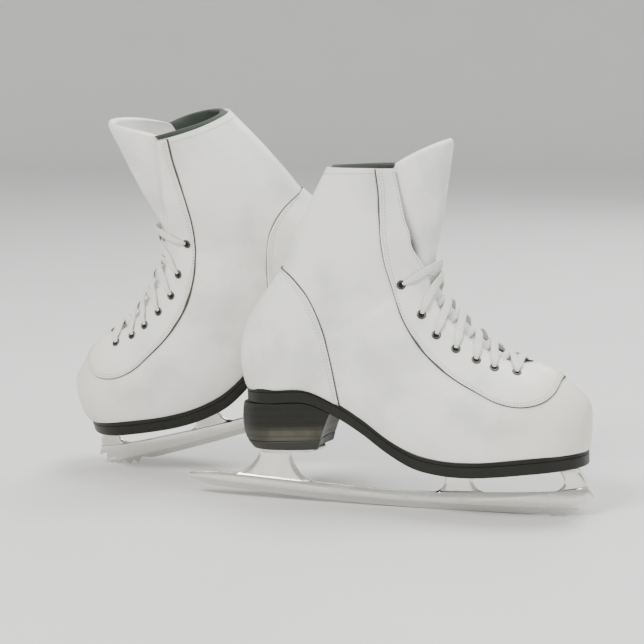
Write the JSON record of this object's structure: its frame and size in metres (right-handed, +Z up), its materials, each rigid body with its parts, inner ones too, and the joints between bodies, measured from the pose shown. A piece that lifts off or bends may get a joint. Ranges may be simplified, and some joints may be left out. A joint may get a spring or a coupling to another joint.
{
  "type": "pair of figure skates",
  "caption": "Ladies' white figure skates with black soles and heels, toe-pick blades, laced fronts and folding tongues, one standing and one leaning on it.",
  "frame": {"origin": "on the ice, below the middle of the pair's bounding box", "axes": "+X the way the standing right skate's toe points (turned 14 degrees to the front), +Y to the leaning left skate behind it, +Z up"},
  "size_m": [0.4236, 0.2526, 0.3129],
  "materials": {
    "leather_white": "smooth warm-white leather with a soft sheen",
    "leather_trim": "white leather overlay, stitched at the edge",
    "lining_grey": "dark grey-green brushed lining",
    "board_tan": "pressed fibre board, tan",
    "sole_black": "black lacquered sole and stacked heel",
    "lace_white": "flat woven cotton lace, off-white",
    "blade_mount": "polished plates and stanchions, pale silver",
    "blade_steel": "ground and lightly brushed runner",
    "screw_steel": "satin screw heads"
  },
  "bodies": {
    "root": {"left_ankle_padding": "lining_grey", "left_eyestay_inner": "leather_trim", "left_eyestay_outer": "leather_trim", "left_footbed": "lining_grey", "left_heel_block": "sole_black", "left_heel_counter": "leather_trim", "left_heel_lift": "sole_black", "left_heel_plate": "blade_mount", "left_heel_screw_1": "screw_steel", "left_heel_screw_2": "screw_steel", "left_heel_screw_3": "screw_steel", "left_heel_screw_4": "screw_steel", "left_insole_board": "board_tan", "left_lace": "lace_white", "left_middle_stanchion": "blade_mount", "left_outsole": "sole_black", "left_quarter_inner": "leather_white", "left_quarter_outer": "leather_white", "left_rear_stanchion": "blade_mount", "left_runner": "blade_steel", "left_sole_plate": "blade_mount", "left_sole_screw_1": "screw_steel", "left_sole_screw_2": "screw_steel", "left_sole_screw_3": "screw_steel", "left_sole_screw_4": "screw_steel", "left_toe_stanchion": "blade_mount", "left_tongue_base": "leather_white", "left_vamp": "leather_white", "right_ankle_padding": "lining_grey", "right_eyestay_inner": "leather_trim", "right_eyestay_outer": "leather_trim", "right_footbed": "lining_grey", "right_heel_block": "sole_black", "right_heel_counter": "leather_trim", "right_heel_lift": "sole_black", "right_heel_plate": "blade_mount", "right_heel_screw_1": "screw_steel", "right_heel_screw_2": "screw_steel", "right_heel_screw_3": "screw_steel", "right_heel_screw_4": "screw_steel", "right_insole_board": "board_tan", "right_lace": "lace_white", "right_middle_stanchion": "blade_mount", "right_outsole": "sole_black", "right_quarter_inner": "leather_white", "right_quarter_outer": "leather_white", "right_rear_stanchion": "blade_mount", "right_runner": "blade_steel", "right_sole_plate": "blade_mount", "right_sole_screw_1": "screw_steel", "right_sole_screw_2": "screw_steel", "right_sole_screw_3": "screw_steel", "right_sole_screw_4": "screw_steel", "right_toe_stanchion": "blade_mount", "right_tongue_base": "leather_white", "right_vamp": "leather_white"},
    "right_tongue": {"right_tongue_flap": "leather_white"},
    "left_tongue": {"left_tongue_flap": "leather_white"}
  },
  "joints": [
    {"name": "right_tongue_fold", "type": "hinge", "parent": "root", "child": "right_tongue", "pos_m": [0.08826, -0.0622, 0.19819], "axis": [0.2416, 0.969, -0.0523], "range_deg": [-12, 40]},
    {"name": "left_tongue_fold", "type": "hinge", "parent": "root", "child": "left_tongue", "pos_m": [-0.13415, 0.04367, 0.21707], "axis": [-0.1541, -0.9727, -0.1736], "range_deg": [-12, 40]}
  ]
}
